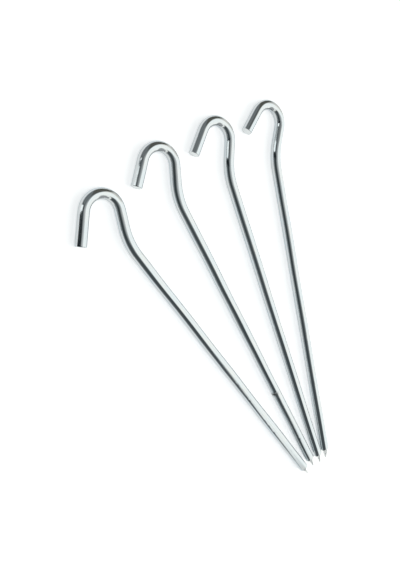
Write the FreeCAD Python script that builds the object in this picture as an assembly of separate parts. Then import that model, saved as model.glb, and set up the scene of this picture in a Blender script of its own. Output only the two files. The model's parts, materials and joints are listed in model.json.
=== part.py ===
# Four hooked tent stakes, each bent from one length of round steel wire and laid side by side in a fan.
# Millimetres. +Z is up and the stakes lie on z = 0. +Y runs along the middle of the fan, from the points
# towards the hooks. The origin is on the ground, under the middle of the set.
import FreeCAD, Part
import math
import os

# The wire
wire_diameter = 6.0
wire_radius = wire_diameter / 2

# One stake, named from its point to the cut end of its hook
overall_length = 229.5        # along the shank, from the point to the outside of the hook's crown
point_length = 7.0            # the cone that goes into the ground
point_tip_radius = 0.5        # small blunt flat at the very tip
crook_radius = 32.5           # to the wire's centre, the gentle bend that sets the hook back over the shank
crook_angle = 27.0
neck_length = 9.0             # straight wire between the crook and the hook
hook_inner_radius = 6.5       # the round bar that the hook is bent over
hook_angle = 159.5
hook_leg_length = 14.4        # the straight free leg, up to its cut end
cut_edge_radius = 0.4         # the burr-free edge round the cut end

hook_radius = hook_inner_radius + wire_radius
crook_rise = crook_radius * math.sin(math.radians(crook_angle))
neck_rise = neck_length * math.cos(math.radians(crook_angle))
hook_rise = hook_radius * (1 + math.sin(math.radians(crook_angle)))
shank_length = overall_length - wire_radius - hook_rise - neck_rise - crook_rise

# The fan: every shank points at one spot ahead of the points, so all of them keep the same gap
fan_step = 8.85               # degrees from one shank to the next
shank_gap = 0.85              # clear space between two shanks where their points begin
point_setbacks = (2.0, 2.5, 0.0, 0.0)   # how far each point is drawn back from the foremost, left to right
leg_overruns = (2.3, 0.0, 0.0, 0.0)     # how much longer each hook's leg was cut, left to right

stake_count = len(point_setbacks)
cone_base_reach = (wire_diameter + shank_gap) / math.sin(math.radians(fan_step))
point_reach = cone_base_reach - point_length   # from the spot that the shanks point at to the foremost point


def unit(heading):
    """The direction in the ground plane at this many degrees from +X towards +Y."""
    turn = math.radians(heading)
    return FreeCAD.Vector(math.cos(turn), math.sin(turn), 0)


def wire_section(at, heading):
    """The wire's round section as a face, square to its run."""
    circle = Part.makeCircle(wire_radius, at, unit(heading))
    return Part.Face(Part.Wire([circle]))


def straight_run(at, heading, length):
    """A straight piece of wire, and where it ends."""
    step = unit(heading) * length
    return wire_section(at, heading).extrude(step), at + step


def bent_run(at, heading, radius, turn):
    """A piece bent in the ground plane, to the left if turn is positive, with its end and new heading."""
    side = math.copysign(1, turn)
    centre = at + unit(heading + side * 90) * radius
    axis = FreeCAD.Vector(0, 0, side)
    solid = wire_section(at, heading).revolve(centre, axis, abs(turn))
    end = centre + unit(heading + turn - side * 90) * radius
    return solid, end, heading + turn


def point(at, heading):
    """The ground cone, from its blunt tip at this place up to the full wire."""
    return Part.makeCone(point_tip_radius, wire_radius, point_length, at, unit(heading))


def cut_end(at, heading, length):
    """The hook's leg, cut square at its end, with the sharp edge taken off."""
    solid, end = straight_run(at, heading, length)
    rim = [e for e in solid.Edges if e.Length > wire_diameter and (e.CenterOfMass - end).Length < cut_edge_radius]
    return solid.makeFillet(cut_edge_radius, rim)


def stake(leg_length):
    """One whole stake with its point at the origin of its own frame and its shank along +Y."""
    along = 90
    tip = FreeCAD.Vector(0, 0, wire_radius)
    cone = point(tip, along)
    cone_base = tip + unit(along) * point_length
    shank, at = straight_run(cone_base, along, shank_length - point_length)
    crook, at, heading = bent_run(at, along, crook_radius, -crook_angle)
    neck, at = straight_run(at, heading, neck_length)
    hook, at, heading = bent_run(at, heading, hook_radius, hook_angle)
    leg = cut_end(at, heading, leg_length)
    return cone.multiFuse([shank, crook, neck, hook, leg])


def place_in_fan(index):
    """Where stake number index lies, counted from the left, as a placement of its own frame."""
    lean = fan_step * ((stake_count - 1) / 2 - index)
    turned = FreeCAD.Rotation(FreeCAD.Vector(0, 0, 1), lean)
    reach = FreeCAD.Vector(0, point_reach + point_setbacks[index], 0)
    return FreeCAD.Placement(turned.multVec(reach), turned)


def fan():
    """All the stakes, moved together so that the middle of their box is over the origin."""
    stakes = []
    for index in range(stake_count):
        solid = stake(hook_leg_length + leg_overruns[index])
        solid.Placement = place_in_fan(index)
        stakes.append(solid)
    box = Part.makeCompound(stakes).optimalBoundingBox(False)
    for solid in stakes:
        solid.translate(FreeCAD.Vector(-box.Center.x, -box.Center.y, 0))
    return stakes


os.makedirs("parts", exist_ok=True)
for number, solid in enumerate(fan(), start=1):
    solid.exportStep(f"parts/stake_{number}.step")
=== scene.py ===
import json
import bpy
import numpy as np
from mathutils import Matrix, Vector


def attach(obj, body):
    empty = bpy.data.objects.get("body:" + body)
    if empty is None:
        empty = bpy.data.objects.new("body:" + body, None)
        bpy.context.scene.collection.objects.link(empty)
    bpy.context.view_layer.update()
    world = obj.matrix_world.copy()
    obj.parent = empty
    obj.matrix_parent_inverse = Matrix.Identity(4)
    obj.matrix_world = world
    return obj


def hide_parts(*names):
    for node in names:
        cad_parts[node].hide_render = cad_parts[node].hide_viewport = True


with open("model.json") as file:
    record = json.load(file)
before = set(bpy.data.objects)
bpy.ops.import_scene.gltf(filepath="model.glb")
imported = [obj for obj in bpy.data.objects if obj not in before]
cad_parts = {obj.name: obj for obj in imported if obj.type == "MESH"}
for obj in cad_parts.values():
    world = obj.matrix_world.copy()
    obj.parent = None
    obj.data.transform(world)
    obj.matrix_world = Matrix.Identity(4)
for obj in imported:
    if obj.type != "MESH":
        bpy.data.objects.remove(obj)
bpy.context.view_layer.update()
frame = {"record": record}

# ---------------------------------------------------------------- The bent wire of one stake
# Each stake is one length of soft drawn steel wire. It is cropped from the coil, pointed at one end, and
# bent cold round two bars: a gentle crook that sets the head back over the shank, then the hook that holds
# the line.
mounts = {mount["name"]: mount for mount in frame["record"]["mounts"]}
wire_radius = mounts["stake_1_shank"]["dims"]["r_mm"] / 1000
plain_shank = mounts["stake_1_shank"]["dims"]["length_mm"] / 1000
point_length = 0.007
tip_radius = 0.0005
tip_rounding = 0.0004         # the very tip is rounded over this much of its length
cut_edge = 0.0004
crook_radius = 0.0325
crook_turn = np.radians(-27.0)
neck_length = 0.009
hook_radius = 0.0095
hook_turn = np.radians(159.5)
bend_ease = 0.0012            # a bend starts and stops over this much wire, not at once

run_lengths = np.array([point_length + plain_shank, crook_radius * abs(crook_turn), neck_length,
                        hook_radius * hook_turn])
crook_from, neck_from, hook_from, leg_from = np.cumsum(run_lengths)


def eased_step(along, place, ease):
    """0 before the place and 1 after it: a cubic S, 3t^2 - 2t^3, over one ease on each side."""
    t = np.clip((along - place) / (2 * ease) + 0.5, 0, 1)
    return t * t * (3 - 2 * t)


def between(along, start, stop, ease):
    """1 between two places along the wire and 0 outside them, with eased ends."""
    return eased_step(along, start, ease) - eased_step(along, stop, ease)


def bent_line(along):
    """The wire's centre line in its own plane, from the point at (0, 0) up along +y.

    Curvature is one over the bend's radius inside each bend and 0 elsewhere. The heading is the running sum
    of curvature, and the place is the running sum of (cos heading, sin heading), both by the trapezium rule.
    """
    steps = 12000
    fine = np.linspace(0, along.max(), steps + 1)
    curvature = (between(fine, crook_from, neck_from, bend_ease) * np.sign(crook_turn) / crook_radius
                 + between(fine, hook_from, leg_from, bend_ease) / hook_radius)
    step = fine[1]
    heading = np.pi / 2 + np.concatenate([[0], np.cumsum((curvature[1:] + curvature[:-1]) * step / 2)])
    place = [np.concatenate([[0], np.cumsum((part[1:] + part[:-1]) * step / 2)])
             for part in (np.cos(heading), np.sin(heading))]
    x, y, turn = (np.interp(along, fine, values) for values in (*place, heading))
    return x, y, turn


# Angles round the wire start at the inside of the hook, and a quarter turn on from there is straight up.
around_count = 80
around = np.linspace(0, 2 * np.pi, around_count, endpoint=False)

# The marks of use that show: distance from the tip, facing in degrees, depth, length, width in degrees, and
# how far the zinc is worn dull there, 0 to 1. Where this is 1, the finish also paints the mark almost black:
# painted shade for its hollow.
marks = {1: [(0.0480, 39, 4.5e-5, 0.0012, 26, 0.0), (0.0545, 39, 3e-5, 0.0010, 22, 0.0),
             (0.0597, 41, 2.5e-5, 0.0016, 24, 0.0), (0.1045, 50, 2.5e-5, 0.0040, 20, 0.0)],
         2: [(0.0650, 32, 2.6e-4, 0.0006, 24, 1.0)],
         3: [(0.1180, 120, 4e-5, 0.0008, 20, 0.0)],
         4: [(0.0860, 75, 4e-5, 0.0010, 24, 0.0)]}


def mark_share(s, a, place, facing, length, width):
    """1 in the middle of a mark, falling off as exp(-r^2) along the wire and round it."""
    off = np.angle(np.exp(1j * (a - np.radians(facing))))
    return np.exp(-((s - place) / length) ** 2 - (off / np.radians(width)) ** 2)


def wire_rows(wire_length):
    """Where the rings of the mesh stand: how far along the wire, and how far out to the wall as a share.

    The share is 1 on the wall and falls to 0 across the flat cut end. Rings crowd together at the rounded
    tip, in the bends, at the notch in stake 2 and at the cut edge.
    """
    below, above = 0.0006, 0.0008         # the shoulder between the cone and the shank
    beside_bend = 0.002
    notch_reach = 0.0012
    quarter = np.linspace(0, np.pi / 2, 10)
    tip = tip_rounding * (1 - np.cos(quarter))
    stretches = [(tip_rounding, point_length - below, 22),
                 (point_length - below, point_length + above, 9),
                 (point_length + above, crook_from - beside_bend, 420),
                 (crook_from - beside_bend, neck_from + beside_bend, 46),
                 (neck_from + beside_bend, hook_from - beside_bend, 14),
                 (hook_from - beside_bend, leg_from + beside_bend, 116),
                 (leg_from + beside_bend, wire_length - cut_edge, 26)]
    cone, shoulder, shank, crook, neck, hook, leg = (np.linspace(*stretch)[1:] for stretch in stretches)
    notch = marks[2][0][0] + np.linspace(-notch_reach, notch_reach, 30)
    shank = np.unique(np.concatenate([shank[(shank < notch[0]) | (shank > notch[-1])], notch]))
    edge = wire_length - cut_edge + cut_edge * np.sin(quarter)
    along = np.concatenate([tip[1:], cone, shoulder, shank, crook, neck, hook, leg, edge[1:]])
    face = np.linspace(1, 0, 27)[1:-1]
    share = np.concatenate([np.ones(len(along)), face])
    along = np.concatenate([along, np.full(len(face), wire_length)])
    return along, share


def wall_radius(along, chance, number, wire_length):
    """How far the wire's wall stands from its centre line, as a grid of (along, around).

    The base is the drawn wire's radius. The point takes it down in a straight line, and a circle arc rounds
    the tip and the cut edge. Small amounts are added: the oval that the straightening rolls leave, the
    flattening of the hook on its outside and the rub of the bar inside both bends, a few dents from bundling,
    and the marks of use.
    """
    s, a = along[:, None], around[None, :]
    shoulder = 0.00012                      # the cone meets the shank softly, not in a sharp ring
    cone = tip_radius + (wire_radius - tip_radius) * s / point_length
    radius = (cone + wire_radius - np.sqrt((cone - wire_radius) ** 2 + shoulder ** 2)) / 2
    into_tip = np.clip(1 - s / tip_rounding, 0, 1)
    radius = radius * np.sqrt(np.clip(1 - into_tip ** 2, 0, 1))
    into_edge = np.clip((s - (wire_length - cut_edge)) / cut_edge, 0, 1)
    radius = radius - cut_edge * (1 - np.sqrt(np.clip(1 - into_edge ** 2, 0, 1)))

    rolled = between(s, point_length + 0.004, wire_length - 0.003, 0.003)     # not at the point or the end
    waves = 4
    oval_depths = chance.uniform(0.6e-5, 2.2e-5, waves)
    oval_phases = chance.uniform(0, 6.28, waves)
    oval_pitches = chance.uniform(0.02, 0.09, waves)
    oval = sum(depth * np.cos(2 * a + phase + 2 * np.pi * s / pitch)
               for depth, phase, pitch in zip(oval_depths, oval_phases, oval_pitches))

    flattened, swelled, hook_rub, crook_rub = 9e-5, 5e-5, 4e-5, 2.5e-5
    in_hook = between(s, hook_from, leg_from, 0.002)
    in_crook = between(s, crook_from, neck_from, 0.003)
    hook_side = np.clip(np.cos(a), 0, 1)
    crook_side = np.clip(-np.cos(a), 0, 1)  # the crook bends the other way from the hook
    hooked = swelled * np.sin(a) ** 2 - flattened * crook_side ** 2 - hook_rub * hook_side ** 6
    radius = radius + rolled * oval + in_hook * hooked - in_crook * crook_rub * crook_side ** 6

    dents = 11
    places = chance.uniform(0.012, wire_length - 0.006, dents)
    facings = np.degrees(chance.uniform(0, 2 * np.pi, dents))
    depths = chance.uniform(1.5e-5, 5e-5, dents)
    lengths = chance.uniform(0.0005, 0.0022, dents)
    widths = np.degrees(chance.uniform(0.12, 0.35, dents))
    for place, facing, depth, length, width in zip(places, facings, depths, lengths, widths):
        radius = radius - depth * mark_share(s, a, place, facing, length, width)
    for place, facing, depth, length, width, _ in marks[number]:
        radius = radius - depth * mark_share(s, a, place, facing, length, width)
    return radius


def shear_relief(across, high, chance):
    """How far the cropped end stands out or falls back, in metres, from its flat.

    The blade comes down from above. The upper part is smeared smooth and leans in a little. Below the line
    where the wire let go, the metal is torn: it falls back by about a tenth of a millimetre and is rough
    with small waves.
    """
    let_go = -0.15 * wire_radius + 0.0002 * np.sin(across / 0.0011 + chance.uniform(0, 6.28))
    torn = eased_step(let_go - high, 0.00008, 0.00012)
    torn_depth, torn_roughness, smear_lean = 0.00012, 0.03, 0.00005
    count = 9
    turns = chance.uniform(0, 3.14, count)
    sizes = chance.uniform(0.00008, 0.00030, count)
    phases = chance.uniform(0, 6.28, count)
    waves = sum(np.sin(across * np.cos(turn) / size + high * np.sin(turn) / size + phase) * size
                for turn, size, phase in zip(turns, sizes, phases))
    rim = np.clip(np.hypot(across, high) / wire_radius, 0, 1) ** 6
    smeared = smear_lean * (1 - high / wire_radius)
    return (torn * (torn_roughness * waves - torn_depth) - (1 - torn) * smeared) * (1 - rim)


def wire_skin(number):
    """One stake's skin as vertices, faces and three tables for the finish.

    A ring is the circle (cos a, sin a) times the wall's radius, set square to the centre line. The rings
    are joined by quads all the way round, and one vertex closes the tip and one the middle of the cut end.
    The tables say where each vertex was on the straight wire, how it was worked, and how dull it is worn. The
    last also carries painted shade, because the finish paints that worn patch almost black.
    """
    chance = np.random.default_rng(40 + number)
    wire_length = leg_from + mounts[f"stake_{number}_hook_leg"]["dims"]["length_mm"] / 1000 + cut_edge
    along, share = wire_rows(wire_length)
    radius = wall_radius(along, chance, number, wire_length) * share[:, None]
    across, high = radius * np.cos(around), radius * np.sin(around)
    x, y, heading = bent_line(along)
    sway_depth = 8e-5                       # no drawn wire is quite straight
    sway_pitch, sway_phase = chance.uniform(0.05, 0.08), chance.uniform(0, 6.28)
    sway = sway_depth * np.sin(2 * np.pi * along / sway_pitch + sway_phase)
    sway = sway * between(along, 0.02, crook_from - 0.01, 0.015)              # not at the point or the crook
    side = np.stack([-np.sin(heading), np.cos(heading)], axis=1)
    reach = across + sway[:, None]
    sheared = shear_relief(across, high, chance) * (share < 1)[:, None]
    ring = np.stack([x[:, None] + side[:, 0:1] * reach + np.cos(heading)[:, None] * sheared,
                     y[:, None] + side[:, 1:2] * reach + np.sin(heading)[:, None] * sheared,
                     np.maximum(wire_radius + high, 0.0)], axis=2)
    end_x, end_y, _ = bent_line(np.array([wire_length]))
    poles = np.array([[0, 0, wire_radius], [end_x[0], end_y[0], wire_radius]])
    vertices = np.concatenate([ring.reshape(-1, 3), poles])

    rows = len(along)
    index = np.arange(rows * around_count).reshape(rows, around_count)
    beside = np.roll(index, -1, axis=1)
    quads = np.stack([index[:-1], beside[:-1], beside[1:], index[1:]], axis=2).reshape(-1, 4)
    tip_fan = np.stack([index[0], beside[0], np.full(around_count, rows * around_count)], axis=1)
    end_fan = np.stack([beside[-1], index[-1], np.full(around_count, rows * around_count + 1)], axis=1)
    faces = quads.tolist() + tip_fan[:, ::-1].tolist() + end_fan[:, ::-1].tolist()

    grid = along[:, None] + 0 * around
    straightened = np.stack([across, high, grid], axis=2).reshape(-1, 3)
    straightened = np.concatenate([straightened, [[0, 0, 0], [0, 0, wire_length]]])
    ground_fade, cropped_fade, rubbed_fade = 0.0004, 0.00012, 0.003
    ground = 1 - eased_step(grid, point_length, ground_fade)
    cropped = eased_step(grid, wire_length - cropped_fade, cropped_fade)
    rubbed = between(grid, hook_from, leg_from, rubbed_fade) * np.clip(np.cos(around), 0, 1) ** 8
    worked = np.stack([ground, cropped, rubbed], axis=2).reshape(-1, 3)
    worked = np.concatenate([worked, [[1, 0, 0], [0, 1, 0]]])
    # The worn patches also carry painted shade: the finish paints them almost black.
    wear_and_shade_length, wear_and_shade_width = 1.8, 1.5      # a dull patch is this many times the size of its dent
    worn_and_painted_shade = sum(dull * mark_share(grid, around, place, facing, wear_and_shade_length * length, wear_and_shade_width * width)
                 for place, facing, _, length, width, dull in marks[number])
    worn_and_painted_shade = np.concatenate([np.clip(worn_and_painted_shade, 0, 1).ravel(), [0, 0]])
    return vertices, faces, straightened, worked, worn_and_painted_shade


def lay_down(vertices, shank):
    """Turns a stake about +z and moves it in the ground plane onto the line of its shank's mount.

    With (u, v) pointing from the point to the hook, x goes to (v, -u) and y to (u, v).
    """
    u, v, _ = -Vector(shank["axis"])
    tip = Vector(shank["pos_m"]) - Vector((u, v, 0)) * (plain_shank / 2 + point_length)
    laid = vertices.copy()
    laid[:, 0] = tip.x + vertices[:, 0] * v + vertices[:, 1] * u
    laid[:, 1] = tip.y - vertices[:, 0] * u + vertices[:, 1] * v
    return laid


# ---------------------------------------------------------------- The finish: bright zinc on drawn steel
# The finished stake is electroplated: a thin, bright, faintly blue zinc that copies every die line of the
# drawn wire, the rings of the ground point and the torn grain of the cropped end.
def zinc_plate():
    """Metal whose colour, roughness and relief come from noise along the straight wire, in metres."""
    material = bpy.data.materials.new("zinc_plate")
    material.use_nodes = True
    tree = material.node_tree
    shader = tree.nodes["Principled BSDF"]
    shader.inputs["Metallic"].default_value = 1.0

    def attribute(name):
        node = tree.nodes.new("ShaderNodeAttribute")
        node.attribute_name = name
        return node

    def noise(scales, size, detail):
        """Noise on the straight wire, stretched by one scale for each of its three directions."""
        stretch = tree.nodes.new("ShaderNodeMapping")
        stretch.inputs["Scale"].default_value = scales
        tree.links.new(place.outputs["Vector"], stretch.inputs["Vector"])
        node = tree.nodes.new("ShaderNodeTexNoise")
        node.inputs["Scale"].default_value = size
        node.inputs["Detail"].default_value = detail
        tree.links.new(stretch.outputs["Vector"], node.inputs["Vector"])
        return node.outputs["Fac"]

    def ramp(value, low, high, dark, light):
        """Takes a value between low and high to between dark and light."""
        node = tree.nodes.new("ShaderNodeMapRange")
        node.inputs["From Min"].default_value = low
        node.inputs["From Max"].default_value = high
        node.inputs["To Min"].default_value = dark
        node.inputs["To Max"].default_value = light
        tree.links.new(value, node.inputs["Value"])
        return node.outputs["Result"]

    def combine(kind, first, second):
        node = tree.nodes.new("ShaderNodeMath")
        node.operation = kind
        for socket, value in zip(node.inputs, (first, second)):
            if isinstance(value, float):
                socket.default_value = value
            else:
                tree.links.new(value, socket)
        return node.outputs["Value"]

    def tint(share, first, second):
        node = tree.nodes.new("ShaderNodeMix")
        node.data_type = "RGBA"
        tree.links.new(share, node.inputs["Factor"])
        for socket, colour in ((node.inputs[6], first), (node.inputs[7], second)):
            if isinstance(colour, tuple):
                socket.default_value = colour
            else:
                tree.links.new(colour, socket)
        return node.outputs[2]

    place = attribute("straight_wire")
    worked = tree.nodes.new("ShaderNodeSeparateXYZ")
    tree.links.new(attribute("worked").outputs["Vector"], worked.inputs["Vector"])
    ground, cropped, rubbed = (worked.outputs[axis] for axis in "XYZ")
    worn_and_painted_shade = attribute("worn_and_painted_shade").outputs["Fac"]

    die_lines = noise((1, 1, 0.012), 5200, 2)
    long_scratches = noise((1, 1, 0.03), 1500, 3)
    clouds = noise((1, 1, 0.35), 260, 3)
    grain = noise((1, 1, 1), 2600, 2)
    grind_rings = noise((0.06, 0.06, 1), 5200, 2)
    torn = noise((1, 0.25, 1), 3600, 4)

    blue_zinc, pale_zinc = (0.545, 0.588, 0.612, 1), (0.580, 0.600, 0.605, 1)
    # The second colour on the next line is painted shade: nearly black, for the hollow of the notch in stake
    # 2.
    scratch, nick_painted_shade = (0.66, 0.665, 0.66, 1), (0.06, 0.06, 0.055, 1)
    ground_zinc, cropped_zinc = (0.93, 0.935, 0.92, 1), (0.66, 0.68, 0.68, 1)
    colour = tint(ramp(clouds, 0.35, 0.65, 0, 1), blue_zinc, pale_zinc)
    colour = tint(ramp(long_scratches, 0.60, 0.74, 0, 0.45), colour, scratch)
    colour = tint(ground, colour, ground_zinc)
    colour = tint(cropped, colour, cropped_zinc)
    # Painted shade: the worn notch is painted nearly black, as if its hollow lay in shade.
    colour = tint(combine("MULTIPLY", worn_and_painted_shade, 0.95), colour, nick_painted_shade)
    tree.links.new(colour, shader.inputs["Base Color"])

    scratched = ramp(long_scratches, 0.55, 0.75, 0.0, 0.06)
    roughness = combine("ADD", ramp(clouds, 0.3, 0.7, 0.07, 0.11), scratched)
    for where, rougher in ((ground, 0.16), (cropped, 0.20), (rubbed, 0.08), (worn_and_painted_shade, 0.45)):
        roughness = combine("ADD", roughness, combine("MULTIPLY", where, rougher))
    tree.links.new(roughness, shader.inputs["Roughness"])

    smooth = combine("SUBTRACT", 1.0, combine("MAXIMUM", ground, cropped))
    drawn = combine("ADD", combine("MULTIPLY", die_lines, 0.6), combine("MULTIPLY", grain, 0.4))
    relief = combine("MULTIPLY", drawn, smooth)
    for pattern, where, depth in ((grind_rings, ground, 4.0), (torn, cropped, 6.0)):
        relief = combine("ADD", relief, combine("MULTIPLY", combine("MULTIPLY", pattern, where), depth))
    bump = tree.nodes.new("ShaderNodeBump")
    bump.inputs["Strength"].default_value = 0.5
    bump.inputs["Distance"].default_value = 0.000014
    tree.links.new(relief, bump.inputs["Height"])
    tree.links.new(bump.outputs["Normal"], shader.inputs["Normal"])
    return material


# ---------------------------------------------------------------- The four stakes
# Four stakes from one batch, the same but for the marks of handling. They lie loose, side by side, points
# together, each on the line of its own shank and each free to be picked up.
finish = zinc_plate()
for number in range(1, 5):
    name = f"stake_{number}"
    vertices, faces, straightened, worked, worn_and_painted_shade = wire_skin(number)
    mesh = bpy.data.meshes.new(f"{name}_wire")
    mesh.from_pydata(lay_down(vertices, mounts[f"{name}_shank"]), [], faces)
    for label, table in (("straight_wire", straightened), ("worked", worked)):
        mesh.attributes.new(label, "FLOAT_VECTOR", "POINT").data.foreach_set("vector", table.ravel())
    # The worn patches, which the finish also paints nearly black as painted shade.
    mesh.attributes.new("worn_and_painted_shade", "FLOAT", "POINT").data.foreach_set("value", worn_and_painted_shade)
    mesh.polygons.foreach_set("use_smooth", np.ones(len(mesh.polygons), bool))
    mesh.materials.append(finish)
    mesh.update()
    piece = bpy.data.objects.new(f"{name}_wire", mesh)
    bpy.context.scene.collection.objects.link(piece)
    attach(piece, name)
    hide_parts(name)

# ---------------------------------------------------------------- The floor
# A sheet of plain matt white card, wider than any view of the stakes. It glows a little, as on a light
# table, which keeps the shadows faint.
card_half = 6.0
corners = [(x * card_half, y * card_half, 0) for x, y in ((-1, -1), (1, -1), (1, 1), (-1, 1))]
card_mesh = bpy.data.meshes.new("floor")
card_mesh.from_pydata(corners, [], [(0, 1, 2, 3)])
card = bpy.data.materials.new("white_card")
card.use_nodes = True
matt = card.node_tree.nodes["Principled BSDF"].inputs
matt["Base Color"].default_value = (0.86, 0.86, 0.86, 1)
matt["Roughness"].default_value = 0.95
matt["Specular IOR Level"].default_value = 0.1
matt["Emission Color"].default_value = (0.985, 1.0, 1.01, 1)
matt["Emission Strength"].default_value = 0.62
card_mesh.materials.append(card)
floor = bpy.data.objects.new("floor", card_mesh)
bpy.context.scene.collection.objects.link(floor)


# ---------------------------------------------------------------- The light
# A dim room with a big soft lamp over a white sheet, a window across from them, and darker walls and card
# between. The lamp, the sheet and the window are large, so every shadow is soft.
def studio_light():
    """Brightness by direction: each sheet or wall is an eased box in azimuth and elevation, in degrees."""
    world = bpy.data.worlds.new("studio")
    world.use_nodes = True
    tree = world.node_tree
    tree.nodes.clear()

    def node(kind, *inputs):
        made = tree.nodes.new(kind)
        for socket, value in zip(made.inputs, inputs):
            if hasattr(value, "is_linked"):
                tree.links.new(value, socket)
            else:
                socket.default_value = value
        return made

    def sum_of(kind, first, second=0.0):
        made = node("ShaderNodeMath", first, second)
        made.operation = kind
        return made.outputs[0]

    def eased(value, low, high):
        """0 below low and 1 above high, eased. With low above high it falls instead."""
        made = tree.nodes.new("ShaderNodeMapRange")
        made.interpolation_type = "SMOOTHSTEP"
        falls = low > high
        made.inputs["From Min"].default_value = min(low, high)
        made.inputs["From Max"].default_value = max(low, high)
        made.inputs["To Min"].default_value = float(falls)
        made.inputs["To Max"].default_value = float(not falls)
        tree.links.new(value, made.inputs["Value"])
        return made.outputs["Result"]

    direction = tree.nodes.new("ShaderNodeTexCoord").outputs["Generated"]
    split = node("ShaderNodeSeparateXYZ", direction)
    x, y, z = split.outputs
    elevation = sum_of("MULTIPLY", sum_of("ARCSINE", z), 180 / np.pi)

    def from_azimuth(middle, lean):
        """Degrees away from this azimuth, the same on both sides, plus a lean for each degree up."""
        c, s = np.cos(np.radians(middle)), np.sin(np.radians(middle))
        ahead = sum_of("ADD", sum_of("MULTIPLY", x, c), sum_of("MULTIPLY", y, s))
        aside = sum_of("SUBTRACT", sum_of("MULTIPLY", y, c), sum_of("MULTIPLY", x, s))
        turned = sum_of("MULTIPLY", sum_of("ARCTAN2", aside, ahead), 180 / np.pi)
        return sum_of("ABSOLUTE", sum_of("ADD", turned, sum_of("MULTIPLY", elevation, lean)))

    def over(below, share, colour):
        """Lays a colour over what is below it, by its share."""
        made = tree.nodes.new("ShaderNodeMix")
        made.data_type = "RGBA"
        tree.links.new(share, made.inputs["Factor"])
        for socket, value in ((made.inputs[6], below), (made.inputs[7], colour)):
            if isinstance(value, tuple):
                socket.default_value = (*value, 1)
            else:
                tree.links.new(value, socket)
        return made.outputs[2]

    def sheet(below, azimuth, half_width, side_soft, lean, bottom, top, rim_soft, colour):
        """A box of one colour with soft sides and rims, laid over what is below it."""
        across = eased(from_azimuth(azimuth, lean), half_width + side_soft, half_width - side_soft)
        up = sum_of("MULTIPLY", eased(elevation, bottom - rim_soft, bottom + rim_soft),
                    eased(elevation, top + rim_soft, top - rim_soft))
        return over(below, sum_of("MULTIPLY", across, up), colour)

    lit = over((0.058, 0.073, 0.076), eased(elevation, 48, 92), (0.76, 0.78, 0.78))      # ceiling
    lit = over(lit, eased(elevation, 28, -7), (0.62, 0.66, 0.68))                        # table top far off
    for azimuth, half_width, side_soft, lean, bottom, top, rim_soft, colour in (
            (89, 27, 6, 0.0, 18, 64, 15, (0.235, 0.255, 0.26)),          # grey wall
            (38, 25, 5, 0.0, -6, 55, 8, (0.140, 0.138, 0.120)),          # brown card in front of it
            (222, 28, 9, 0.0, 22, 57, 8, (0.088, 0.104, 0.110)),         # dim wall on the other side
            (278, 24, 8, 0.0, -9, 40, 6, (0.46, 0.48, 0.49)),            # grey wall under the big lamp
            (145.2, 4.6, 0.8, 0.0, -2, 66, 3, (0.020, 0.026, 0.030)),    # window post
            (132.2, 8.9, 0.5, 0.08, -12, 38, 8, (1.44, 1.50, 1.50)),     # window, leaning with its wall
            (-3, 17, 5, 0.0, -9, 54, 8, (0.88, 0.86, 0.80)),             # warm end of the white sheet
            (321, 30, 3, 0.0, -2, 50, 3, (1.44, 1.47, 1.43)),            # white sheet
            (318, 54, 13, 0.0, 41, 80, 5, (1.44, 1.47, 1.43)),           # big soft lamp
            (258, 9, 3, 0.0, 33, 47, 3, (1.44, 1.47, 1.43)),             # its lower corner
            (246.5, 4, 1.5, 0.0, 3, 36, 2, (1.33, 1.36, 1.33))):         # its stand
        lit = sheet(lit, azimuth, half_width, side_soft, lean, bottom, top, rim_soft, colour)
    felt = node("ShaderNodeBackground", lit, 1.0)
    seen = node("ShaderNodeBackground", (1, 1, 1, 1), 1.0)      # what shows past the floor's edge
    path = tree.nodes.new("ShaderNodeLightPath")
    choose = node("ShaderNodeMixShader", path.outputs["Is Camera Ray"], felt.outputs[0], seen.outputs[0])
    node("ShaderNodeOutputWorld", choose.outputs[0])
    return world


bpy.context.scene.world = studio_light()
bpy.context.scene.view_settings.view_transform = "Standard"

# ---------------------------------------------------------------- The camera
# It looks down on the stakes from past the hooks, on the side that they curl to, and is rolled on its side
# so that the hooks come at the top and the points at the bottom.
aim = Vector((-0.02015, 0.0366, 0.0))
stand_off = 0.3092
stand_azimuth = np.radians(143.17)
stand_elevation = np.radians(52.99)
roll = np.radians(97.2)
backward = Vector((np.cos(stand_azimuth) * np.cos(stand_elevation),
                   np.sin(stand_azimuth) * np.cos(stand_elevation), np.sin(stand_elevation)))
level = Vector((0, 0, 1)).cross(backward).normalized()
upright = backward.cross(level)
right = level * np.cos(roll) + upright * np.sin(roll)
up = backward.cross(right)
camera_data = bpy.data.cameras.new("camera")
camera_data.lens = 36.245
camera_data.sensor_width = 36.0
camera_data.clip_start = 0.01
camera = bpy.data.objects.new("camera", camera_data)
turned = Matrix((right, up, backward)).transposed().to_4x4()
camera.matrix_world = Matrix.Translation(aim + backward * stand_off) @ turned
bpy.context.scene.collection.objects.link(camera)
bpy.context.scene.camera = camera
